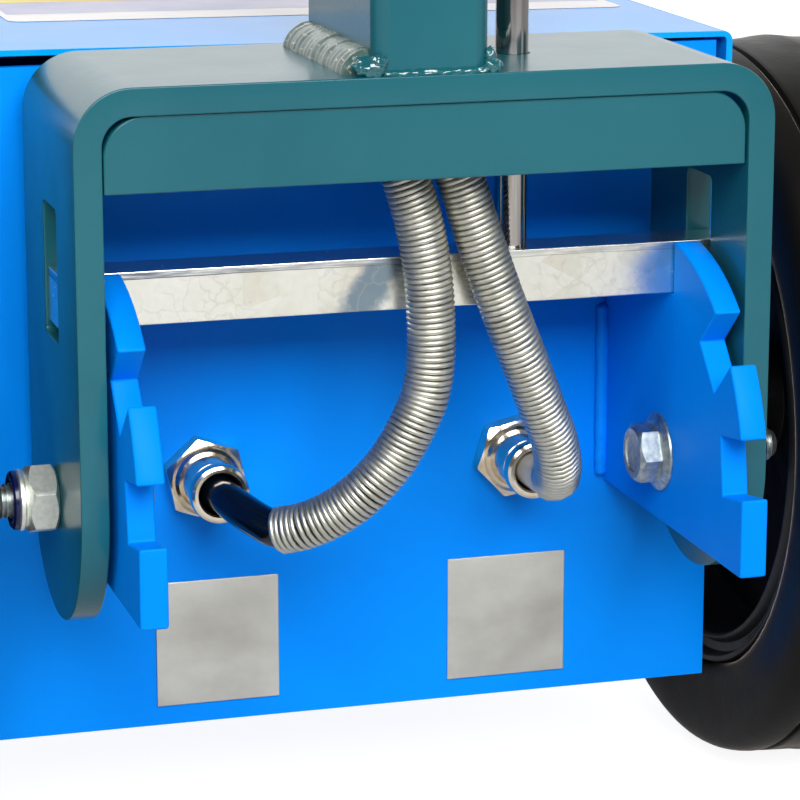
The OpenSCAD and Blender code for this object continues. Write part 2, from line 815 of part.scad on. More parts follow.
module rod_guide_lower() { rod_guide(guide_low_z); }
module rod_guide_upper() { rod_guide(guide_high_z); }

// Control head on top of the handle tube, with wells for its two push buttons.
module control_box() {
    color("black") place() difference() {
        translate([0, pivot_y, tube_top]) linear_extrude(box_head_h) rounded(box_head_w, tube_d + 6, 9);
        translate([0, pivot_y, tube_top - 1]) linear_extrude(head_cavity + 1) rounded(tube_w - 8, tube_d - 10, 4);
        for (s = [-1, 1])
            translate([s * button_x, pivot_y - 14, tube_top + box_head_h - button_well])
                cylinder(d = button_d + 1, h = 20, $fn = 72);
    }
}

module button(side) {
    color(side > 0 ? "green" : "firebrick") place()
        translate([side * button_x, pivot_y - 14, tube_top + box_head_h - button_well + button_travel + gap])
            rotate_extrude($fn = 72)
                polygon([[0, 0], [button_d / 2, 0], [button_d / 2, 12], [button_d / 2 - 2, 14], [0, 14.5]]);
}

module button_left() { button(-1); }
module button_right() { button(1); }

// Closed envelope of the return spring round the pull rod.
module return_spring() {
    color("silver") place() translate([rod_x, pivot_y, collar_z + collar_t + 0.2]) difference() {
        cylinder(r = spring_r, h = guide_high_z - collar_z - collar_t - 0.2, $fn = 72);
        translate([0, 0, -1]) cylinder(r = rod_d / 2 + 0.5, h = 100, $fn = 72);
    }
}

// ---------- lock ----------

module lock_bar() {
    color("gainsboro") place() difference() {
        translate([-lock_len / 2, pivot_y - lock_d / 2, lock_z]) cube([lock_len, lock_d, lock_h]);
        translate([rod_x, pivot_y, lock_z + 5]) cylinder(r = rod_d / 2, h = lock_h, $fn = 72);
    }
}

module pull_rod() {
    color("lightgray") place() translate([rod_x, pivot_y, lock_z + 5])
        cylinder(r = rod_d / 2, h = knob_z - 8 - lock_z - 5, $fn = 72);
}

module rod_collar() {
    color("silver") place() translate([rod_x, pivot_y, collar_z]) difference() {
        cylinder(d = collar_d, h = collar_t, $fn = 72);
        translate([0, 0, -1]) cylinder(r = rod_d / 2, h = collar_t + 2, $fn = 72);
    }
}

module pull_knob() {
    r = rod_d / 2;
    color("black") place() translate([rod_x, pivot_y, knob_z - 30]) rotate_extrude($fn = 96)
        polygon([
            [r, 0], [11, 0], [10, 8], [12, 13], [17, 17], [18, 21], [17, 26], [13, 29], [6, 30], [0, 30],
            [0, 22], [r, 22]
        ]);
}

// ---------- wheels ----------

module tyre(side) {
    r = wheel_r;
    w = tyre_w;
    seat = rim_d / 2;
    // radius and length of one half of the section, from the rim's seat to the middle of the tread
    half = [
        [seat, 9], [seat + 1.5, 5], [seat + 4.5, 2.5], [seat + 9, 0.8], [seat + 14, 0], [r - 16.5, 0], [r - 10, 1.2],
        [r - 6, 3.5], [r - 3.3, 7.8], [r - 2.1, 13], [r - 1.8, 15.2], [r - 4.8, 16.2], [r - 4.8, 18.4],
        [r - 1.6, 19.6], [r - 1.5, 32], [r - 0.7, 37]
    ];
    color("black") place() mirrored(side) turned_x(wheel_x, axle_y, wheel_r)
        polygon(concat(half, [[r, w / 2]], [for (i = [len(half) - 1:-1:0]) [half[i][0], w - half[i][1]]]));
}

module tyre_left() { tyre(-1); }
module tyre_right() { tyre(1); }

module rim(side) {
    seat = rim_d / 2;
    w = tyre_w;
    // radius and length of the rim's edge, from the disc to the tyre's seat
    edge = [
        [seat - 13, 14], [seat - 12.5, 8], [seat - 11.2, 6.2], [seat - 9.8, 8], [seat - 8.5, 11], [seat - 4.5, 10.5],
        [seat - 3.2, 5.6], [seat - 1.2, 5.2], [seat, 8]
    ];
    color("black") place() mirrored(side) union() {
        turned_x(wheel_x, axle_y, wheel_r)
            polygon(concat(
                [[bush_r, hub_inner - wheel_x], [hub_r, hub_inner - wheel_x], [hub_r + 2, w / 2 - 6],
                    [seat - 16, w / 2 - 8]],
                edge,
                [for (i = [len(edge) - 1:-1:0]) [edge[i][0], w - edge[i][1]]],
                [[seat - 16, w / 2 + 2], [hub_r + 2, w / 2 + 4], [hub_r, hub_outer - wheel_x],
                    [bush_r, hub_outer - wheel_x]]
            ));
        // radial ribs on the outer side
        for (a = [0:60:300])
            translate([wheel_x, axle_y, wheel_r]) rotate([a, 0, 0])
                translate([w / 2, -2.5, hub_r - 2]) cube([w / 2 - 16, 5, seat - 12 - hub_r + 2]);
    }
}

module rim_left() { rim(-1); }
module rim_right() { rim(1); }

module bushing(side) {
    color("silver") place() mirrored(side) difference() {
        bar_x(hub_inner, hub_outer - hub_inner, axle_y, wheel_r, bush_r);
        bar_x(hub_inner - 1, hub_outer - hub_inner + 2, axle_y, wheel_r, axle_d / 2 + run);
    }
}

module bushing_left() { bushing(-1); }
module bushing_right() { bushing(1); }

// ---------- drum and cable ----------

module drum_can() {
    r = drum_r;
    t = drum_wall;
    color("steelblue") place() turned_y(drum_y)
        polygon([
            [shaft_r, 0], [r - 8, 0], [r - 2, 2], [r, 8], [r, drum_len - 8], [r - 2, drum_len - 2], [r - 8, drum_len],
            [neck_r, drum_len + 14], [neck_r, front_y - drum_y + 18], [neck_bore, front_y - drum_y + 18],
            [neck_bore, drum_len + 12], [r - 9, drum_len - t], [r - 2 - t, drum_len - 4], [r - t, drum_len - 9],
            [r - t, 9], [r - 2 - t, 4], [r - 9, t], [shaft_r, t]
        ]);
}

module drum_shaft() {
    color("silver") place() {
        bar_y(0, bulkhead_y + gap, drum_y - bulkhead_y + drum_wall, drum_axis_z, shaft_r);
        bar_y(0, drum_y + drum_wall, 6, drum_axis_z, shaft_r + shaft_flange);
    }
}

module cable_coil() {
    inner = drum_r - drum_wall - coil_depth;
    outer = drum_r - drum_wall - 0.3;
    color("slategray") place() turned_y(coil_start) translate([(inner + outer) / 2, coil_len / 2])
        rounded(outer - inner, coil_len, 6);
}

module cable_end() {
    color("slategray") place() swept_rod(smooth(cable_route, 3), cable_d / 2, 10, [0, 0, 1]);
}

module cable_tip() {
    r = cable_d / 2;
    color("silver") place() turned_y(tip_y)
        polygon([[0, 0], [r, 0], [r + 1, 4], [r + 4, 12], [r + 5, 18], [r + 3, 26], [r - 1, 31], [0, tip_len]]);
}

// ---------- hoses ----------

function stretch(p, a, b) = [for (i = [a:b]) p[i]];

module hose_black() {
    color("black") place()
        swept_rod(smooth(concat(exit_left, bend_left, rise_left), 2), hose_d / 2, 8, [-1, 0, 1]);
}

module hose_clear() {
    color("whitesmoke") place()
        swept_rod(smooth(concat(exit_right, bend_right, rise_right), 2), hose_d / 2, 8, [1, 0, 1]);
}

module spring_guard_left() {
    color("silver") place()
        swept_tube(smooth(stretch(bend_left, guard_start_left, guard_end_left), 2), guard_d / 2, guard_bore_r, 12,
            [-1, 0, 1]);
}

module spring_guard_right() {
    color("silver") place()
        swept_tube(
            smooth(concat([[fit_right_x, panel_y - fit_len - 2, fit_z]], stretch(bend_right, 1, guard_end_right)), 2),
            guard_d / 2, guard_bore_r, 12, [1, 0, 1]);
}

housing_shell();
rear_panel();
front_panel();
lid();
lid_screws();
bulkhead();
quadrant_plate_left();
quadrant_plate_right();
quadrant_welds();
pivot_bolt_left();
pivot_bolt_right();
pivot_nut_left();
pivot_nut_right();
pivot_washers();
hose_fitting_left();
hose_fitting_right();
label_plate_left();
label_plate_right();
axle();
axle_nuts();
front_leg_left();
front_leg_right();
foot_left();
foot_right();
motor();
drum_bearings();
outlet_tube();
cable_gland();
yoke();
web_plate();
handle_tube();
base_welds();
crossbar();
grip_left();
grip_right();
rod_guide_lower();
rod_guide_upper();
control_box();
return_spring();
lock_bar();
pull_rod();
rod_collar();
pull_knob();
button_left();
button_right();
tyre_left();
rim_left();
bushing_left();
tyre_right();
rim_right();
bushing_right();
drum_can();
drum_shaft();
cable_coil();
cable_end();
cable_tip();
hose_black();
hose_clear();
spring_guard_left();
spring_guard_right();
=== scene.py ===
"""Studio scene of the wheeled drain snake machine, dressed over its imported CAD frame."""
import json
import math

import bmesh
import bpy
from mathutils import Matrix, Vector, noise


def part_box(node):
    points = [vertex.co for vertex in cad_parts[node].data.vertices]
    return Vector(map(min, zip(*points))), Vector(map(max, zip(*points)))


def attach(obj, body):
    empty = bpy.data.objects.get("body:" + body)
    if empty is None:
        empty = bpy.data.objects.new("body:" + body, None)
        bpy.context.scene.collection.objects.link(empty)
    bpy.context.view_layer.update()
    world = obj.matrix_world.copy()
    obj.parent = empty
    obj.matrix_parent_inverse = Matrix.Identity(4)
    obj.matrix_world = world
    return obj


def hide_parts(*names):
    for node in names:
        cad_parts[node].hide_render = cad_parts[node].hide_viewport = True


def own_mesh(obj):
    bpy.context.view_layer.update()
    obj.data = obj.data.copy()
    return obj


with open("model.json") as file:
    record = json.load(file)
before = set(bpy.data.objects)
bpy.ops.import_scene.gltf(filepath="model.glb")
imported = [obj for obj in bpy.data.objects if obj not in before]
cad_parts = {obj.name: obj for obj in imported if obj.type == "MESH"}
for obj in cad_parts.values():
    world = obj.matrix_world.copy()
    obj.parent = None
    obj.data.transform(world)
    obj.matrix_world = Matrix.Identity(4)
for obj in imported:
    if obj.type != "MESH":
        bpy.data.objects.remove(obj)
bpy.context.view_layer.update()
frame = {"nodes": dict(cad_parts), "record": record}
nodes = frame["nodes"]
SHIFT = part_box("yoke")[0].y


def at(x, y, z):
    """A point given in the source's millimetres, in the row frame's metres."""
    return Vector((x / 1000, SHIFT + y / 1000, z / 1000))


# ---------- camera, light and floor ----------

TURN, TILT = math.radians(16.416), math.radians(13.694)
camera = bpy.data.objects.new("camera", bpy.data.cameras.new("camera"))
bpy.context.scene.collection.objects.link(camera)
camera.location = at(-326.8, -1066.5, 472.6)
camera.rotation_euler = (math.pi / 2 - TILT, 0, -TURN)
camera.data.sensor_width = 36
camera.data.lens = 147.1
camera.data.clip_start = 0.05
bpy.context.scene.camera = camera


def area_light(name, place, target, size, power, colour=(1, 1, 1)):
    data = bpy.data.lights.new(name, "AREA")
    data.shape = "RECTANGLE"
    data.size, data.size_y = size
    data.energy = power
    data.color = colour
    lamp = bpy.data.objects.new(name, data)
    bpy.context.scene.collection.objects.link(lamp)
    lamp.location = place
    lamp.rotation_euler = (Vector(target) - Vector(place)).to_track_quat("-Z", "Y").to_euler()
    return lamp


bpy.context.scene.view_settings.view_transform = "Standard"
area_light("key", (-0.22, -2.2, 1.52), (0, -0.2, 0.2), (1.8, 1.2), 80, (1, 0.995, 0.98))
area_light("left", (-2.3, -0.9, 1.1), (-0.1, -0.2, 0.2), (1.0, 1.2), 8)
area_light("right", (2.2, -1.5, 1.0), (0.1, -0.2, 0.2), (0.8, 1.2), 4)
area_light("back", (0.2, 2.0, 1.8), (0, 0, 0.3), (1.8, 0.8), 7)

world = bpy.data.worlds.new("studio")
bpy.context.scene.world = world
world.use_nodes = True
sky = world.node_tree
backdrop = sky.nodes["Background"]


def sky_node(kind, inputs, **settings):
    made = sky.nodes.new("ShaderNode" + kind)
    for key, value in settings.items():
        setattr(made, key, value)
    for key, value in inputs.items():
        if isinstance(value, bpy.types.NodeSocket):
            sky.links.new(value, made.inputs[key])
        else:
            made.inputs[key].default_value = value
    return made


# White cyclorama behind the machine, a dimmer room in front of it and above.
split = sky_node("SeparateXYZ", {"Vector": sky_node("TexCoord", {}).outputs["Generated"]})
behind = sky_node("MapRange", {"Value": split.outputs["Y"], "From Min": -0.15, "From Max": 0.55,
                               "To Min": 0.12, "To Max": 1.2}, interpolation_type="SMOOTHSTEP")
height = sky_node("MapRange", {"Value": split.outputs["Z"], "From Min": 0.45, "From Max": 0.8,
                               "To Min": 1.0, "To Max": 0.22}, interpolation_type="SMOOTHSTEP")
room = sky_node("Math", {0: behind.outputs["Result"], 1: height.outputs["Result"]}, operation="MULTIPLY")
seen = sky_node("Mix", {"Factor": sky_node("LightPath", {}).outputs["Is Camera Ray"],
                        "A": room.outputs["Value"], "B": 1.0})
sky.links.new(seen.outputs["Result"], backdrop.inputs["Strength"])
backdrop.inputs["Color"].default_value = (1, 1, 1, 1)

FLOOR_HALF, FLOOR_Z = 6, -0.0005
floor_mesh = bpy.data.meshes.new("floor")
floor_corners = [(x * FLOOR_HALF, y * FLOOR_HALF, FLOOR_Z) for x, y in ((-1, -1), (1, -1), (1, 1), (-1, 1))]
floor_mesh.from_pydata(floor_corners, [], [(0, 1, 2, 3)])
floor = bpy.data.objects.new("floor", floor_mesh)
bpy.context.scene.collection.objects.link(floor)


# ---------- materials ----------

class Shade:
    """A Principled material with a few short ways to wire procedural texture into it."""

    def __init__(self, name, **sockets):
        self.material = bpy.data.materials.new(name)
        self.material.use_nodes = True
        self.tree = self.material.node_tree
        self.shader = self.tree.nodes["Principled BSDF"]
        for socket, value in sockets.items():
            if isinstance(value, tuple):
                value = (*value, 1)
            self.shader.inputs[socket.replace("_", " ")].default_value = value
        self.place = self.tree.nodes.new("ShaderNodeTexCoord").outputs["Object"]

    def add(self, kind, inputs=None, **settings):
        made = self.tree.nodes.new("ShaderNode" + kind)
        for key, value in settings.items():
            setattr(made, key, value)
        for key, value in (inputs or {}).items():
            if isinstance(value, bpy.types.NodeSocket):
                self.tree.links.new(value, made.inputs[key])
            else:
                made.inputs[key].default_value = value
        return made

    def link(self, output, socket):
        self.tree.links.new(output, self.shader.inputs[socket])

    def scaled(self, factors):
        return self.add("Mapping", {"Vector": self.place, "Scale": factors}).outputs["Vector"]

    def noise(self, scale, detail=3.0, vector=None, roughness=0.55):
        made = self.add("TexNoise", {"Vector": vector or self.place, "Scale": scale, "Detail": detail,
                                     "Roughness": roughness})
        return made.outputs["Fac"]

    def ramp(self, value, stops):
        made = self.add("ValToRGB", {"Fac": value})
        band = made.color_ramp
        while len(band.elements) < len(stops):
            band.elements.new(0.5)
        for element, (place, colour) in zip(band.elements, stops):
            element.position = place
            element.color = (*colour, 1) if isinstance(colour, tuple) else (colour, colour, colour, 1)
        return made.outputs["Color"]

    def span(self, value, low, high):
        return self.add("MapRange", {"Value": value, "To Min": low, "To Max": high}).outputs["Result"]

    def colour(self, value, stops):
        self.link(self.ramp(value, stops), "Base Color")
        return self

    def rough(self, value, low, high):
        self.link(self.span(value, low, high), "Roughness")
        return self

    def bump(self, value, depth, normal=None):
        made = self.add("Bump", {"Height": value, "Distance": depth, "Strength": 1.0})
        if normal is not None:
            self.tree.links.new(normal, made.inputs["Normal"])
        self.link(made.outputs["Normal"], "Normal")
        return made.outputs["Normal"]


def painted(name, dark, light, rough, peel=0.00002, peel_scale=700, **sockets):
    """Sprayed paint: slight tone drift, orange peel and uneven gloss."""
    shade = Shade(name, **sockets)
    shade.colour(shade.noise(9, 4), [(0.35, dark), (0.65, light)])
    shade.rough(shade.noise(38, 5), *rough)
    shade.bump(shade.noise(peel_scale, 2), peel)
    return shade.material


def metal(name, dark, light, rough, scale=(60, 60, 60), depth=0.00001, **sockets):
    """Bare or plated metal whose tone and gloss drift along the given directions."""
    shade = Shade(name, Metallic=1.0, **sockets)
    grain = shade.noise(1, 5, shade.scaled(scale))
    shade.colour(grain, [(0.3, dark), (0.7, light)])
    shade.rough(shade.noise(1, 4, shade.scaled(tuple(s * 2 for s in scale))), *rough)
    shade.bump(grain, depth)
    return shade.material


def spangled(name, low, high, reflection_x):
    """Zinc plate with faint crystals and hairlines, a painted bluish reflection stripe, a band of painted
    streaky reflections with a painted dark line at its foot, and a painted highlight along the top.
    """
    shade = Shade(name, Metallic=1.0)
    cells = shade.add("TexVoronoi", {"Vector": shade.place, "Scale": 70, "Randomness": 1.0})
    tone = shade.add("SeparateColor", {"Color": cells.outputs["Color"]}).outputs["Red"]
    both = shade.add("Math", {0: tone, 1: 0.25, 2: shade.noise(30, 6)},
                     operation="MULTIPLY_ADD").outputs["Value"]
    plate = shade.ramp(both, [(0.40, (0.88, 0.80, 0.70)), (0.52, (0.86, 0.85, 0.75)),
                              (0.62, (0.92, 0.92, 0.84)), (0.85, (0.96, 0.95, 0.90))])
    swirl = shade.add("TexNoise", {"Vector": shade.place, "Scale": 140, "Detail": 5}).outputs["Color"]
    shift = shade.add("VectorMath", {0: swirl, 1: (0.010, 0.010, 0.010)},
                      operation="MULTIPLY").outputs["Vector"]
    warp = shade.add("VectorMath", {0: shade.place, 1: shift}, operation="ADD").outputs["Vector"]
    crack = shade.add("TexVoronoi", {"Vector": warp, "Scale": 120}, feature="DISTANCE_TO_EDGE")
    thin = shade.add("MapRange", {"Value": crack.outputs["Distance"], "From Max": 0.05, "To Min": 0.7,
                                  "To Max": 1.0}).outputs["Result"]
    worn = shade.add("MapRange", {"Value": shade.noise(34, 4), "From Min": 0.46, "From Max": 0.62,
                                  "To Min": 1.0, "To Max": 0.0}).outputs["Result"]
    lines = shade.add("Math", {0: thin, 1: worn}, operation="MAXIMUM").outputs["Value"]
    parts = shade.add("SeparateXYZ", {"Vector": shade.place})
    height, across = parts.outputs["Z"], parts.outputs["X"]
    # Painted reflection: a bluish slanted stripe across the bar's front, mixed into the base colour.
    slant = shade.add("Math", {0: height, 1: -0.67, 2: across}, operation="MULTIPLY_ADD").outputs["Value"]
    blurred = shade.add("Math", {0: shade.noise(180, 5), 1: 0.010, 2: slant},
                        operation="MULTIPLY_ADD").outputs["Value"]
    signed = shade.add("Math", {0: blurred, 1: reflection_x}, operation="SUBTRACT").outputs["Value"]
    off = shade.add("Math", {0: signed}, operation="ABSOLUTE").outputs["Value"]
    painted_reflection_mask = shade.add("MapRange", {"Value": off, "From Min": 0.004, "From Max": 0.011,
                                  "To Min": 0.92, "To Max": 0.0},
                     interpolation_type="SMOOTHSTEP").outputs["Result"]
    # Painted reflections: streaky dark and bright bands from a given height up, stronger towards the left,
    # with a painted dark line at their foot.
    wavy = shade.add("Math", {0: shade.noise(1, 3, shade.scaled((18, 18, 18))), 1: 0.0016, 2: height},
                     operation="MULTIPLY_ADD").outputs["Value"]
    left = shade.add("MapRange", {"Value": across, "From Min": -0.09, "From Max": 0.01,
                                  "To Min": 1.0, "To Max": 0.35}).outputs["Result"]
    reflection_band = shade.add("MapRange", {"Value": wavy, "From Min": low, "From Max": low + 0.0003, "To Max": left})
    near = shade.add("Math", {0: wavy, 1: low, 2: 0.00016}, operation="COMPARE").outputs["Value"]
    painted_dark_line = shade.add("Math", {0: near, 1: left}, operation="MULTIPLY").outputs["Value"]
    # Painted highlight: near-white base colour along the bar's top edge.
    top = shade.add("MapRange", {"Value": height, "From Min": high - 0.0007,
                                 "From Max": high - 0.0005}).outputs["Result"]
    reflection_streaks = shade.ramp(shade.noise(1, 6, shade.scaled((60, 60, 900))),
                         [(0.38, (0.20, 0.24, 0.30)), (0.52, (0.55, 0.58, 0.62)), (0.62, (0.97, 0.97, 0.95))])
    reflection_striped = shade.add("Mix", {"Factor": painted_reflection_mask, "A": plate, "B": (0.20, 0.29, 0.37, 1)}, data_type="RGBA")
    mixed = shade.add("Mix", {"Factor": lines, "A": (0.60, 0.57, 0.50, 1), "B": reflection_striped.outputs["Result"]},
                      data_type="RGBA")
    reflection_banded = shade.add("Mix", {"Factor": reflection_band.outputs["Result"], "A": mixed.outputs["Result"], "B": reflection_streaks},
                       data_type="RGBA")
    dark_lined = shade.add("Mix", {"Factor": painted_dark_line, "A": reflection_banded.outputs["Result"], "B": (0.10, 0.10, 0.11, 1)},
                       data_type="RGBA")
    top_highlighted = shade.add("Mix", {"Factor": top, "A": dark_lined.outputs["Result"], "B": (0.96, 0.97, 0.97, 1)},
                      data_type="RGBA")
    shade.link(top_highlighted.outputs["Result"], "Base Color")
    shade.rough(shade.noise(400, 5), 0.16, 0.32)
    shade.bump(shade.noise(900, 4), 0.000003)
    return shade.material


def rubber(name, dark, light, rough, scale=240, depth=0.00005, **sockets):
    shade = Shade(name, **sockets)
    shade.colour(shade.noise(22, 5), [(0.3, dark), (0.7, light)])
    shade.rough(shade.noise(70, 4), *rough)
    shade.bump(shade.noise(scale, 5), depth)
    return shade.material


def plastic(name, dark, light, rough, scale=900, depth=0.00003):
    return rubber(name, dark, light, rough, scale, depth)


def scratched(name, dark, light, mark):
    """Painted weld metal with pale scuffs along its crests."""
    shade = Shade(name, Coat_Weight=0.5, Coat_Roughness=0.15)
    base = shade.ramp(shade.noise(160, 4), [(0.35, dark), (0.65, light)])
    scuffs = shade.noise(1, 7, shade.scaled((600, 130, 600)), 0.75)
    marks = shade.add("MapRange", {"Value": scuffs, "From Min": 0.57, "From Max": 0.63}).outputs["Result"]
    both = shade.add("Mix", {"Factor": marks, "A": base, "B": (*mark, 1)}, data_type="RGBA")
    shade.link(both.outputs["Result"], "Base Color")
    shade.rough(shade.noise(120, 4), 0.2, 0.5)
    shade.bump(shade.noise(500, 7), 0.00012)
    return shade.material


BLUE = painted("blue_powder_coat", (0.0, 0.235, 0.90), (0.0, 0.262, 0.955), (0.30, 0.40), peel=0.00003,
               Specular_IOR_Level=0.08)
# The plates' base colour is a little darker than the body's on the same powder coat: a painted shade.
PLATE_BLUE = painted("blue_plate_coat", (0.0, 0.225, 0.90), (0.0, 0.255, 0.95), (0.40, 0.50), peel=0.00003,
                     Specular_IOR_Level=0.04)
# The lid's base colour is lighter than the body's: a painted reflection of the bright backdrop on the same
# powder coat.
LID_BLUE = painted("blue_lid_coat", (0.0, 0.32, 0.90), (0.0, 0.35, 0.94), (0.16, 0.24), peel=0.00001,
                   peel_scale=500, Specular_IOR_Level=0.12, Coat_Weight=0.11, Coat_Roughness=0.05)
TEAL = painted("teal_enamel", (0.005, 0.096, 0.128), (0.009, 0.114, 0.146), (0.26, 0.38), peel=0.00007,
               peel_scale=620, Specular_IOR_Level=0.22, Coat_Weight=0.42, Coat_Roughness=0.14)
TEAL_WELD = scratched("teal_weld", (0.035, 0.085, 0.075), (0.105, 0.155, 0.135), (0.46, 0.48, 0.40))
TEAL_DRIP = painted("teal_drip", (0.004, 0.085, 0.105), (0.008, 0.105, 0.125), (0.12, 0.22), peel=0.00006,
                    peel_scale=420, Coat_Weight=1.0, Coat_Roughness=0.03)
# Heights of the bar's painted reflection band and painted top highlight, and where its painted reflection
# stripe crosses.
REFLECTION_BAND_Z, BAR_TOP_Z, PAINTED_REFLECTION_X = 0.2430, 0.2449, -0.1638
ZINC = spangled("zinc_plate", REFLECTION_BAND_Z, BAR_TOP_Z, PAINTED_REFLECTION_X)
BOLT = metal("zinc_fastener", (0.56, 0.60, 0.55), (0.84, 0.85, 0.78), (0.30, 0.50), scale=(330, 330, 330),
             depth=0.00003)
# Zinc plating whose base colour is darkened towards bluish grey: a painted reflection of the surrounding
# powder coat.
BOLT_HEAD = metal("zinc_bolt_head", (0.26, 0.33, 0.37), (0.62, 0.65, 0.62), (0.30, 0.50),
                  scale=(420, 420, 420), depth=0.00004)
NUT = metal("zinc_nut", (0.78, 0.82, 0.76), (0.98, 0.98, 0.92), (0.36, 0.56), scale=(520, 520, 520),
            depth=0.00005)
CHROME = metal("chrome_rod", (0.14, 0.10, 0.075), (0.64, 0.64, 0.63), (0.04, 0.16), scale=(260, 260, 7))
STEEL = metal("bare_steel", (0.35, 0.35, 0.36), (0.55, 0.55, 0.56), (0.28, 0.45))
SPRING = metal("spring_wire", (0.50, 0.50, 0.44), (0.70, 0.69, 0.62), (0.38, 0.52), scale=(120, 120, 120))
NICKEL = metal("nickel_fitting", (0.62, 0.50, 0.34), (0.95, 0.90, 0.80), (0.10, 0.24), scale=(90, 90, 90))
LABEL = metal("brushed_label", (0.52, 0.51, 0.47), (0.84, 0.84, 0.79), (0.32, 0.48), scale=(17, 17, 26))
HOSE_BLACK = rubber("hose_black_rubber", (0.001, 0.002, 0.004), (0.002, 0.005, 0.012), (0.10, 0.18),
                    depth=0.00001)
HOSE_CLEAR = plastic("hose_milky", (0.52, 0.50, 0.44), (0.66, 0.64, 0.58), (0.18, 0.3))
TYRE = rubber("tyre_rubber", (0.003, 0.003, 0.003), (0.007, 0.0065, 0.006), (0.40, 0.56), scale=300,
              depth=0.00010, Specular_IOR_Level=0.16, Specular_Tint=(1.0, 0.92, 0.84),
              Sheen_Weight=0.9, Sheen_Roughness=0.14, Sheen_Tint=(1.0, 0.86, 0.76))
RIM = plastic("rim_plastic", (0.003, 0.003, 0.004), (0.006, 0.006, 0.007), (0.36, 0.5))
RUBBER = rubber("grip_rubber", (0.010, 0.010, 0.010), (0.022, 0.022, 0.022), (0.5, 0.7))
BLACK = plastic("black_plastic", (0.010, 0.010, 0.011), (0.020, 0.020, 0.021), (0.35, 0.5))
NYLON = plastic("nylon_ring", (0.002, 0.004, 0.035), (0.004, 0.010, 0.075), (0.15, 0.3))
MOTOR = painted("motor_grey", (0.04, 0.04, 0.045), (0.06, 0.06, 0.065), (0.35, 0.5))
CAST = painted("outlet_dark", (0.03, 0.03, 0.033), (0.05, 0.05, 0.055), (0.4, 0.55), peel=0.00008,
               peel_scale=220)
RED = plastic("button_red", (0.40, 0.012, 0.008), (0.50, 0.02, 0.012), (0.2, 0.3))
GREEN = plastic("button_green", (0.01, 0.22, 0.05), (0.015, 0.28, 0.07), (0.2, 0.3))
STICKER = {
    "white": plastic("sticker_white", (0.82, 0.80, 0.80), (0.90, 0.88, 0.88), (0.25, 0.4), depth=0.00001),
    "lilac": plastic("sticker_lilac", (0.36, 0.38, 0.62), (0.60, 0.58, 0.72), (0.25, 0.4), depth=0.00001),
    "yellow": plastic("sticker_yellow", (0.80, 0.66, 0.02), (0.88, 0.74, 0.04), (0.25, 0.4), depth=0.00001),
}

FLOOR = Shade("floor_paper")
FLOOR.colour(FLOOR.noise(2, 3), [(0.3, (0.34, 0.34, 0.34)), (0.7, (0.37, 0.37, 0.37))])
FLOOR.rough(FLOOR.noise(8, 3), 0.7, 0.8)
FLOOR.shader.inputs["Emission Color"].default_value = (1, 1, 1, 1)
rays = FLOOR.add("LightPath").outputs
glow = FLOOR.add("Math", {0: rays["Is Camera Ray"], 1: 0.85, 2: 0.06}, operation="MULTIPLY_ADD")
FLOOR.link(FLOOR.add("Math", {0: rays["Is Glossy Ray"], 1: 0.16, 2: glow.outputs["Value"]},
                     operation="MULTIPLY_ADD").outputs["Value"], "Emission Strength")
floor_mesh.materials.append(FLOOR.material)

SLOTS = {
    "blue_paint": BLUE, "lid_paint": LID_BLUE, "teal_paint": TEAL, "zinc": BOLT, "chrome": CHROME,
    "steel": STEEL, "fitting_brass": NICKEL, "label_metal": LABEL, "rubber_black": RUBBER,
    "grip_rubber": RUBBER,
    "hose_rubber": HOSE_BLACK, "hose_plastic": HOSE_CLEAR, "tyre_rubber": TYRE, "rim_plastic": RIM,
    "motor_paint": MOTOR, "outlet_steel": CAST, "black_plastic": BLACK, "button_red": RED,
    "button_green": GREEN,
}
NODE_SLOT = {part["node"]: part["material_slot"] for part in frame["record"]["subparts"]}


def dress(name, material, bevel=0.0, angle=35, bent=False):
    """Gives a CAD node its material, and soft edges by modifier."""
    piece = nodes[name]
    piece.data.materials.clear()
    piece.data.materials.append(material)
    if bevel:
        weld = piece.modifiers.new("weld", "WELD")
        weld.merge_threshold = 0.00001
        if not bent:
            flat = piece.modifiers.new("flat", "DECIMATE")
            flat.decimate_type = "DISSOLVE"
            flat.angle_limit = math.radians(0.3)
        soft = piece.modifiers.new("edges", "BEVEL")
        soft.width = bevel
        soft.segments = 2
        soft.limit_method = "ANGLE"
        soft.angle_limit = math.radians(angle)
        soft.harden_normals = not bent
        soft.use_clamp_overlap = True
        if bent:
            piece.modifiers.new("even", "WEIGHTED_NORMAL").weight = 50


for name, slot in NODE_SLOT.items():
    dress(name, SLOTS[slot])


# ---------- mesh helpers ----------

def new_piece(name, mesh, material, body, replaced=(), angle=35):
    """A piece of the scene made from a bmesh, smooth up to the given angle in degrees."""
    data = finished(mesh, name)
    piece = bpy.data.objects.new(name, data)
    bpy.context.scene.collection.objects.link(piece)
    data.materials.append(material)
    data.shade_smooth()
    data.set_sharp_from_angle(angle=math.radians(angle))
    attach(piece, body)
    if replaced:
        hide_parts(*replaced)
    return piece


def loft(mesh, rings, closed=False, caps=True):
    """Adds a skin over rings of equal length to a bmesh."""
    rows = [[mesh.verts.new(p) for p in ring] for ring in rings]
    count = len(rows[0])
    pairs = list(zip(rows, rows[1:])) + ([(rows[-1], rows[0])] if closed else [])
    for lower, upper in pairs:
        for k in range(count):
            mesh.faces.new((lower[k], lower[(k + 1) % count], upper[(k + 1) % count], upper[k]))
    if caps and not closed:
        mesh.faces.new(reversed(rows[0]))
        mesh.faces.new(rows[-1])


def finished(mesh, name):
    bmesh.ops.recalc_face_normals(mesh, faces=mesh.faces)
    data = bpy.data.meshes.new(name)
    mesh.to_mesh(data)
    mesh.free()
    return data


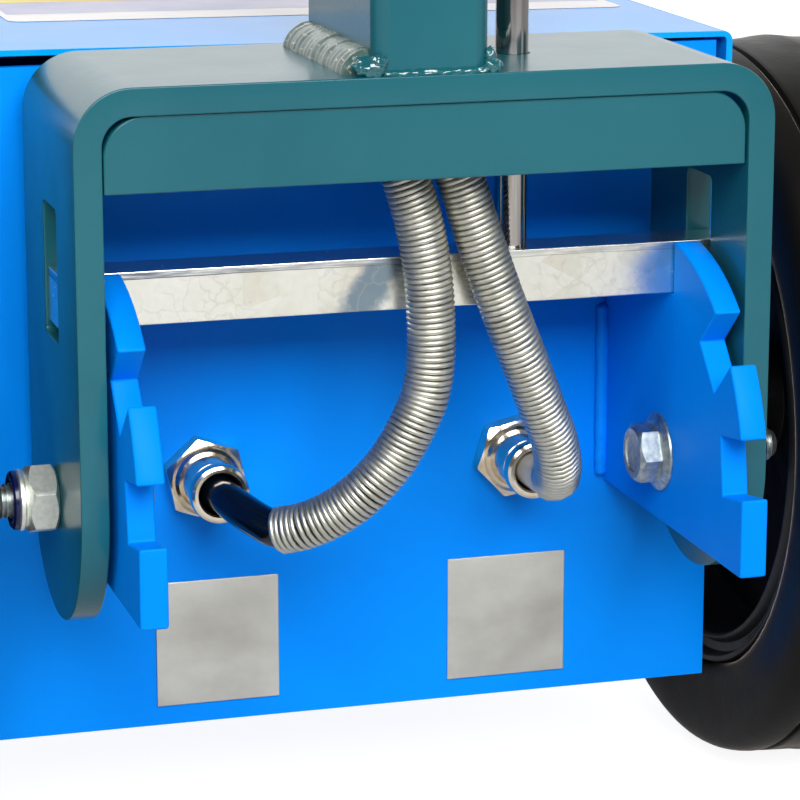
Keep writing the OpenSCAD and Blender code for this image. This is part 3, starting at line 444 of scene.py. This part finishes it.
def frame_along(axis):
    """Two unit vectors across an axis."""
    axis = Vector(axis).normalized()
    side = axis.cross(Vector((0, 0, 1)) if abs(axis.z) < 0.9 else Vector((1, 0, 0))).normalized()
    return side, axis.cross(side)


def turned(mesh, origin, axis, profile, sides=72, closed=False):
    """Lofts (radius, length) pairs in millimetres about an axis. A radius may be a function of the angle."""
    side, up = frame_along(axis)
    axis = Vector(axis).normalized()
    rings = []
    for radius, length in profile:
        ring = []
        for k in range(sides):
            a = 2 * math.pi * k / sides
            r = radius(a) if callable(radius) else radius
            h = length(a) if callable(length) else length
            ring.append(origin + (side * math.cos(a) + up * math.sin(a)) * r / 1000 + axis * h / 1000)
        rings.append(ring)
    loft(mesh, rings, closed)


def hexagon(across_flats, phase=0.0):
    """Radius of a hexagon at each angle."""
    def radius(a):
        return across_flats / 2 / math.cos((a + phase + math.pi / 6) % (math.pi / 3) - math.pi / 6)
    return radius


def chamfered(across_flats, face, inward, phase=0.0):
    """Height of a hexagon's rim below its chamfered face, at each angle."""
    corner = hexagon(across_flats, phase)
    def height(a):
        return face - inward * max(0.0, corner(a) - across_flats / 2 * 0.98) * 0.58
    return height


def bead(mesh, points, across, out, width, ripple=0.12, pitch=2.6, seed=0.0):
    """A weld bead of overlapping ripples along a polyline in millimetres."""
    rings = []
    length = sum((b - a).length for a, b in zip(points, points[1:])) * 1000
    steps = max(12, int(length / 0.45))
    for i in range(steps + 1):
        t = i / steps * (len(points) - 1)
        k = min(int(t), len(points) - 2)
        centre = points[k].lerp(points[k + 1], t - k)
        run = i / steps * length
        wave = 1 + ripple * (abs(math.sin(math.pi * run / pitch)) - 0.5)
        wave += 0.10 * noise.noise(Vector((run / 6, seed, 0)))
        end = min(1.0, 4 * min(i, steps - i) / steps * length / width + 0.12)
        ring = []
        for j in range(10):
            a = math.pi * 2 * j / 10
            r = width / 2 * wave * math.sqrt(end)
            r *= 1 + 0.07 * noise.noise(Vector((run / 2, 3 * math.cos(a) + seed, 3 * math.sin(a))))
            ring.append(centre + (across * math.cos(a) + out * math.sin(a) * 0.8) * r / 1000)
        rings.append(ring)
    loft(mesh, rings)


def curve_through(points, steps=4):
    """Catmull-Rom points through the given ones."""
    points = [Vector(p) for p in points]
    made = []
    for i in range(len(points) - 1):
        a, b = points[max(i - 1, 0)], points[i]
        c, d = points[i + 1], points[min(i + 2, len(points) - 1)]
        for k in range(steps):
            t = k / steps
            made.append(0.5 * (2 * b + (c - a) * t + (2 * a - 5 * b + 4 * c - d) * t * t
                               + (3 * b - a - 3 * c + d) * t ** 3))
    made.append(points[-1])
    return made


def smooth_path(points, steps):
    """A smooth line through a route given in the source's millimetres."""
    return [at(*p) for p in curve_through(points, steps)]


def wire(name, points, radius, material, body, replaced=(), resolution=3):
    """A round wire or hose as a curve of one open spline."""
    data = bpy.data.curves.new(name, "CURVE")
    data.dimensions = "3D"
    data.bevel_depth = radius
    data.bevel_resolution = resolution
    data.use_fill_caps = True
    spline = data.splines.new("POLY")
    spline.points.add(len(points) - 1)
    for point, place in zip(spline.points, points):
        point.co = (*place, 1)
    spline.use_smooth = True
    data.materials.append(material)
    piece = bpy.data.objects.new(name, data)
    bpy.context.scene.collection.objects.link(piece)
    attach(piece, body)
    if replaced:
        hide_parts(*replaced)
    return piece


def resampled(points, step):
    """Points an even step apart along a line."""
    made, left = [points[0]], step
    for a, b in zip(points, points[1:]):
        length = (b - a).length
        while length >= left:
            a = a.lerp(b, left / length)
            length -= left
            left = step
            made.append(a)
        left -= length
    return made


def coil(points, radius, pitch, turn_steps=12):
    """A close-wound helix round a centreline."""
    line = resampled(points, pitch / turn_steps)
    side = (line[1] - line[0]).orthogonal().normalized()
    made = []
    for i, centre in enumerate(line):
        along = (line[min(i + 1, len(line) - 1)] - line[max(i - 1, 0)]).normalized()
        side = (side - along * side.dot(along)).normalized()
        a = 2 * math.pi * i / turn_steps
        made.append(centre + (side * math.cos(a) + along.cross(side) * math.sin(a)) * radius)
    return made


# ---------- hoses and their spring guards ----------

HOSE_D, GUARD_MEAN_R, GUARD_PITCH, GUARD_WIRE_R = 0.0134, 0.00795, 0.0021, 0.00103
PANEL_Y, FITTING_Z, FITTING_LEFT_X, FITTING_RIGHT_X = 110, 149.5, -58.5, 65.2
EXIT_LEFT = [(FITTING_LEFT_X, PANEL_Y - 4, FITTING_Z), (FITTING_LEFT_X, PANEL_Y - 18, FITTING_Z)]
EXIT_RIGHT = [(FITTING_RIGHT_X, PANEL_Y - 4, FITTING_Z), (FITTING_RIGHT_X, PANEL_Y - 18, FITTING_Z)]
BEND_LEFT = [
    (-58, 80, 149.5), (-54.5, 68, 147.5), (-49.5, 57, 145), (-44, 48.5, 143.5), (-36, 42, 146.5),
    (-26, 37, 152), (-16, 33, 160.5), (-6.5, 31, 171.5), (0, 29.5, 183), (5, 29, 194), (7, 28.5, 205),
    (7.5, 28.5, 216), (7, 28.5, 230.5), (5.5, 28.5, 245), (2.5, 28.5, 260), (-1.8, 28.5, 274),
    (-6.8, 29.5, 290), (-9.2, 30.5, 302), (-9.2, 31, 316), (-9.2, 31, 345),
]
BEND_RIGHT = [
    (65.3, 80, 149.5), (66.2, 68, 149.5), (65.5, 56, 154), (62.5, 47, 162.5), (58.5, 41, 173.5),
    (52, 36, 187), (43, 31, 207), (37, 29, 220.5), (32, 28.5, 233.5), (25, 28.5, 253),
    (18.9, 28.5, 272), (12.8, 29.5, 289), (9.7, 30.5, 301), (9.2, 31, 315), (9.2, 31, 345),
]
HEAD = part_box("hose_black")[1].z * 1000
RISE = (420, 520, 620, 720, 820, HEAD)


def hose(name, exit_points, bend, x, material, guard_from):
    route = smooth_path(exit_points + bend + [(x, 31, z) for z in RISE], 4)
    piece = wire(name + "_hose", route, HOSE_D / 2, material, "handle", ["hose_" + name], resolution=5)
    guard = smooth_path(guard_from, 8)
    side = "left" if x < 0 else "right"
    turns = coil(guard, GUARD_MEAN_R, GUARD_PITCH, 14)
    spring = wire("guard_coil_" + side, turns, GUARD_WIRE_R, SPRING, "handle",
                  ["spring_guard_" + side], resolution=1)
    return piece


hose("black", EXIT_LEFT, BEND_LEFT, -9.2, HOSE_BLACK, BEND_LEFT[3:18])
hose("clear", EXIT_RIGHT, BEND_RIGHT, 9.2, HOSE_CLEAR,
     [(65.9, 63.5, 151.2)] + BEND_RIGHT[2:13])


# ---------- dressed CAD pieces ----------

for name in ("yoke", "web_plate", "handle_tube", "crossbar", "rod_guide_lower", "rod_guide_upper"):
    dress(name, TEAL, 0.0006, bent=name == "yoke")
for name in ("quadrant_plate_left", "quadrant_plate_right"):
    dress(name, PLATE_BLUE, 0.0010)
for name in ("rear_panel", "front_panel", "bulkhead", "front_leg_left", "front_leg_right"):
    dress(name, BLUE)
dress("housing_shell", BLUE, 0.0006)
dress("lid", LID_BLUE, 0.0008)
dress("lock_bar", ZINC, 0.0005)
for name in ("label_plate_left", "label_plate_right"):
    dress(name, LABEL, 0.0003)
for name in ("rim_left", "rim_right"):
    dress(name, RIM, 0.0010)


# ---------- tyres ----------

def tyre(label, side):
    """A tyre lathed over the CAD tyre, with a smooth sidewall, soft shoulders and two narrow grooves."""
    inner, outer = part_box("tyre_" + label)
    r, w, seat = (outer.z - inner.z) * 500, (outer.x - inner.x) * 1000, 111
    edge = (inner.x if side > 0 else outer.x)
    centre = Vector((edge, (inner.y + outer.y) / 2, (inner.z + outer.z) / 2))
    wall = [
        (seat, 9), (seat + 1.5, 5), (seat + 4.5, 2.5), (seat + 9, 0.9), (seat + 15, 0.1), (r - 16.5, 0.1),
        (r - 10, 1.4), (r - 5.8, 3.9), (r - 3.3, 7.8), (r - 2.2, 12), (r - 1.9, 15.2),
    ]
    groove = [(r - 2.3, 15.7), (r - 4.4, 16.3), (r - 4.6, 17.1), (r - 4.4, 17.9), (r - 2.2, 18.5)]
    tread = [(r - 1.8, 19.1), (r - 1.5, 25), (r - 1.2, 32), (r - 0.5, 37.5), (r - 0.05, w / 2)]
    half = [(p.x, p.y) for p in curve_through(wall)] + groove + [(p.x, p.y) for p in curve_through(tread)]
    profile = half + [(radius, w - x) for radius, x in reversed(half[:-1])]
    mesh = bmesh.new()
    turned(mesh, centre, (side, 0, 0), profile, 144, closed=True)
    new_piece("tyre_detail_" + label, mesh, TYRE, "wheel_" + label,
              ["tyre_" + label], angle=38)


tyre("left", -1)
tyre("right", 1)


# ---------- fasteners ----------

PIVOT_Y, PIVOT_Z, THREAD_R = 48.5, 162.5, 6.35
HEAD_FLATS, HEAD_TURN, NUT_FLATS, NUT_TURN, FITTING_FLATS = 20, 0.60, 23, 0.187, 28.6


def thread(mesh, origin, axis, radius, start, length, pitch=1.75):
    """Screw thread as a stack of ridges between two lengths along an axis."""
    profile = [(radius - 1.0, start)]
    turns = int(length / pitch)
    for i in range(turns):
        base = start + i * pitch
        profile += [(radius - 0.9, base + 0.1), (radius, base + pitch * 0.45), (radius, base + pitch * 0.55)]
    profile += [(radius - 0.9, start + turns * pitch), (radius - 1.6, start + length), (0.2, start + length)]
    turned(mesh, origin, axis, profile, 40)


def pivot_fasteners(side, label):
    """Flanged head, threaded end and collared lock nut of one fold pivot."""
    axis = Vector((side, 0, 0))
    origin = at(0, PIVOT_Y, PIVOT_Z)
    inner, nut_x, end = 103.5, 126.8, 149.1
    head = bmesh.new()
    six = hexagon(HEAD_FLATS, HEAD_TURN)
    turned(head, origin, -axis, [
        (6.3, -inner), (14.5, -inner), (14.75, -inner + 0.5), (14.6, -inner + 1.2), (12.6, -inner + 2.4),
        (11.4, -inner + 3.0), (six, -inner + 3.0),
        (six, chamfered(HEAD_FLATS, -inner + 10.6, 1.3, HEAD_TURN)),
        (9.4, -inner + 11.0), (7.2, -inner + 11.0), (6.8, -inner + 10.3), (0.2, -inner + 10.1),
    ], 96)
    turned(head, origin, axis, [(6.3, inner), (THREAD_R, end - 14), (5.3, end - 13.8), (0.2, end - 13.8)], 40)
    thread(head, origin, axis, THREAD_R, end - 13.9, 13.9)
    new_piece("pivot_bolt_detail_" + label, head, BOLT_HEAD, "chassis",
              ["pivot_bolt_" + label], angle=28)
    nut = bmesh.new()
    six = hexagon(NUT_FLATS, NUT_TURN)
    turned(nut, origin, axis, [
        (6.45, nut_x), (10.6, nut_x), (six, chamfered(NUT_FLATS, nut_x + 0.5, -1.2, NUT_TURN)),
        (six, chamfered(NUT_FLATS, nut_x + 10.6, 1.6, NUT_TURN)), (10.2, nut_x + 10.9), (9.9, nut_x + 11.3),
        (10.8, nut_x + 11.8), (11.1, nut_x + 12.4), (11.0, nut_x + 13.6), (10.2, nut_x + 14.1),
        (6.45, nut_x + 14.1),
    ], 96, closed=True)
    new_piece("pivot_nut_detail_" + label, nut, NUT, "chassis",
              ["pivot_nut_" + label], angle=28)
    ring = bmesh.new()
    turned(ring, origin, axis, [
        (6.5, nut_x + 13.9), (10.2, nut_x + 13.9), (10.7, nut_x + 14.4), (10.5, nut_x + 15.6),
        (9.6, nut_x + 16.3), (7.8, nut_x + 16.3), (6.5, nut_x + 15.7),
    ], 72, closed=True)
    new_piece("pivot_nut_ring_" + label, ring, NYLON, "chassis")


pivot_fasteners(-1, "left")
pivot_fasteners(1, "right")


def hose_fitting(label, x, phase):
    """Plated bulkhead fitting: chamfered hexagon, barrel, groove and rolled collar."""
    origin = at(x, PANEL_Y, FITTING_Z)
    six = hexagon(FITTING_FLATS, phase)
    fitting = bmesh.new()
    turned(fitting, origin, (0, -1, 0), [
        (7.9, -11), (12.2, -11), (12.2, -4), (9, -4), (9, 0), (13.3, 0), (six, 0.0),
        (six, chamfered(FITTING_FLATS, 8.0, 1.0, phase)), (13.7, 8.1), (12.6, 7.9), (11.4, 8.9), (10.6, 11.0),
        (10.25, 21.8), (9.2, 22.4), (9.2, 23.6), (10.6, 24.2), (11.3, 25.2), (11.3, 28.2), (10.9, 29.4),
        (9.9, 30.0), (8.7, 29.9), (8.05, 29.2), (7.9, 27.5),
    ], 96, closed=True)
    new_piece("fitting_detail_" + label, fitting, NICKEL, "chassis",
              ["hose_fitting_" + label], angle=28)


hose_fitting("left", FITTING_LEFT_X, 0.837)
hose_fitting("right", FITTING_RIGHT_X, 0.295)


# ---------- return spring of the lock ----------


def return_spring():
    """Compression spring with closed ends."""
    low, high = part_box("return_spring")
    length = high.z - low.z
    wire_r, mean, turns, sides, steps = 0.0008, 0.0084, 12, 10, 28
    foot = Vector(((low.x + high.x) / 2, (low.y + high.y) / 2, low.z))
    pitch = (length - 6 * wire_r) / (turns - 2)
    rings = []
    for i in range(turns * steps + 1):
        u = i / steps
        z = wire_r + 2 * wire_r * min(u, 1)
        z += pitch * max(0, min(u, turns - 1) - 1)
        z += 2 * wire_r * max(0, u - turns + 1)
        out = Vector((math.cos(2 * math.pi * u), math.sin(2 * math.pi * u), 0))
        rings.append([foot + out * (mean + wire_r * math.cos(a)) + Vector((0, 0, z + wire_r * math.sin(a)))
                      for a in (2 * math.pi * k / sides for k in range(sides))])
    mesh = bmesh.new()
    loft(mesh, rings)
    piece = new_piece("return_spring_coil", mesh, SPRING, "handle",
                      ["return_spring"], angle=60)
    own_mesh(piece)


return_spring()


# ---------- welds ----------

X, Y, Z = Vector((1, 0, 0)), Vector((0, 1, 0)), Vector((0, 0, 1))


def fillet(mesh, start, end, side, reach, height, rough=0.35, seed=0.0, belly=0.12):
    """A fillet weld in a corner: side points away from the upright face, heights are above the base face."""
    along = (end - start).normalized()
    length = (end - start).length * 1000
    steps = int(length / 0.7)
    rings = []
    for i in range(steps + 1):
        run = length * i / steps
        close = min(1.0, (min(run, length - run) / (0.45 * reach) + 0.05)) ** 0.5
        wave = 1 + 0.025 * math.sin(run * 1.3 + seed) + 0.10 * noise.noise(Vector((run / 7, seed, 2.0)))
        ring = []
        for j in range(11):
            t = j / 10
            out = (1 - (1 - t) ** 1.35) * reach
            up = (1 - t ** 1.35) * height
            bulge = belly * math.sin(math.pi * t) * (reach + height) / 2
            lift = rough * noise.noise(Vector((run / 2.6, t * 5 + seed, seed * 3))) * math.sin(math.pi * t)
            point = start + along * (run / 1000)
            point += side * ((out * wave + (bulge + lift) * 0.7) * close / 1000)
            point += Z * ((up * wave + (bulge + lift) * 0.7) * close / 1000)
            ring.append(point)
        ring.append(start + along * (run / 1000) - side * 0.0006 - Z * 0.0006)
        rings.append(ring)
    loft(mesh, rings)


def lump(mesh, centre, size, seed=0.0, rough=0.28):
    """A solidified drop of weld metal."""
    made = bmesh.ops.create_icosphere(mesh, subdivisions=4, radius=1.0)
    for vertex in made["verts"]:
        way = vertex.co.normalized()
        swell = 1 + rough * noise.noise(way * 1.9 + Vector((seed, seed * 2, 0)))
        swell += 0.10 * noise.noise(way * 5.5 + Vector((seed, 0, seed)))
        vertex.co = centre + Vector((way.x * size[0], way.y * size[1], way.z * size[2])) * (swell / 1000)


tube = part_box("handle_tube")
low, high, base = tube[0], tube[1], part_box("yoke")[1].z
left_weld, tube_welds = bmesh.new(), bmesh.new()


def on_base(x, y):
    """A point on the yoke's top face."""
    return Vector((x, y, base))


fillet(left_weld, on_base(low.x, low.y + 0.004), on_base(low.x, high.y - 0.002), -X, 9.8, 8.6, 0.26, 1.7,
       belly=0.10)
new_piece("tube_weld_left", left_weld, TEAL_WELD, "handle", ["base_welds"], angle=50)
fillet(tube_welds, on_base(high.x, low.y + 0.002), on_base(high.x, high.y - 0.002), X, 3.6, 6.4, 0.5, 7.7)
fillet(tube_welds, on_base(low.x + 0.003, low.y), on_base(high.x - 0.002, low.y), -Y, 1.7, 2.2, 0.35, 4.1)
fillet(tube_welds, on_base(low.x + 0.003, high.y), on_base(high.x - 0.002, high.y), Y, 1.9, 2.2, 0.35, 9.3)
for corner, drops in (
        (low.x, (((-0.3, 0.8, 2.2), (5.2, 3.1, 3.6), 1.3), ((-2.6, 2.6, 3.4), (4.6, 3.4, 3.6), 4.4),
                 ((1.6, -0.2, 4.6), (3.2, 1.8, 2.8), 7.9))),
        (high.x, (((0.6, 0.9, 1.6), (3.4, 2.6, 3.2), 2.6), ((0.2, 2.2, 5.2), (2.2, 2.4, 3.2), 5.1),
                  ((-3.0, -0.4, 0.8), (3.2, 1.6, 1.5), 8.2)))):
    for centre, drop_size, seed in drops:
        lump(tube_welds, on_base(corner, low.y) + Vector(centre) / 1000, drop_size, seed)
new_piece("tube_weld_beads", tube_welds, TEAL_DRIP, "handle", ["base_welds"], angle=80)

plate_welds = bmesh.new()
for side in (-1, 1):
    for face, way in ((103.5, -1), (113.5, 1)):
        x = side * (face + way * 1.2)
        toe = x + side * way * 0.2
        bead(plate_welds, [at(toe, 108.6, 138), at(toe, 108.6, 207)],
             (X * side * way - Y).normalized(), (X * side * way + Y).normalized(), 6.4, ripple=0.03,
             pitch=5.0, seed=side * face)
new_piece("plate_weld_beads", plate_welds, BLUE, "chassis",
          ["quadrant_welds"], angle=70)

# ---------- plain sticker on the lid ----------

LEAN = math.radians(0.6)
LID_TOP = 0.31375


def lid_point(x, y):
    """A point just above the leaning lid."""
    return Vector((x, SHIFT + y, LID_TOP - math.tan(LEAN) * x))


def panel(mesh, x0, x1, y0, y1, index, round_corners=0.0):
    outline = []
    for cx, cy, turn in ((x1, y1, 0), (x0, y1, 1), (x0, y0, 2), (x1, y0, 3)):
        sx, sy = (1 if cx == x1 else -1), (1 if cy == y1 else -1)
        for k in range(7):
            a = math.pi / 2 * (turn + k / 6)
            outline.append((cx - sx * round_corners + round_corners * math.cos(a),
                            cy - sy * round_corners + round_corners * math.sin(a)))
    if not round_corners:
        outline = [(x1, y1), (x0, y1), (x0, y0), (x1, y0)]
    lifted = [lid_point(x, y) + Vector((0, 0, 0.00008 + 0.00004 * index)) for x, y in outline]
    face = mesh.faces.new([mesh.verts.new(p) for p in lifted])
    face.material_index = index


sticker = bmesh.new()
panel(sticker, -0.1145, 0.139, 0.190, 0.345, 0, 0.006)
panel(sticker, -0.1115, 0.136, 0.2135, 0.342, 1)
panel(sticker, -0.1115, -0.030, 0.252, 0.342, 2)
data = bpy.data.meshes.new("lid_sticker")
sticker.to_mesh(data)
sticker.free()
badge = bpy.data.objects.new("lid_sticker", data)
bpy.context.scene.collection.objects.link(badge)
for key in ("white", "lilac", "yellow"):
    data.materials.append(STICKER[key])
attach(badge, "chassis")
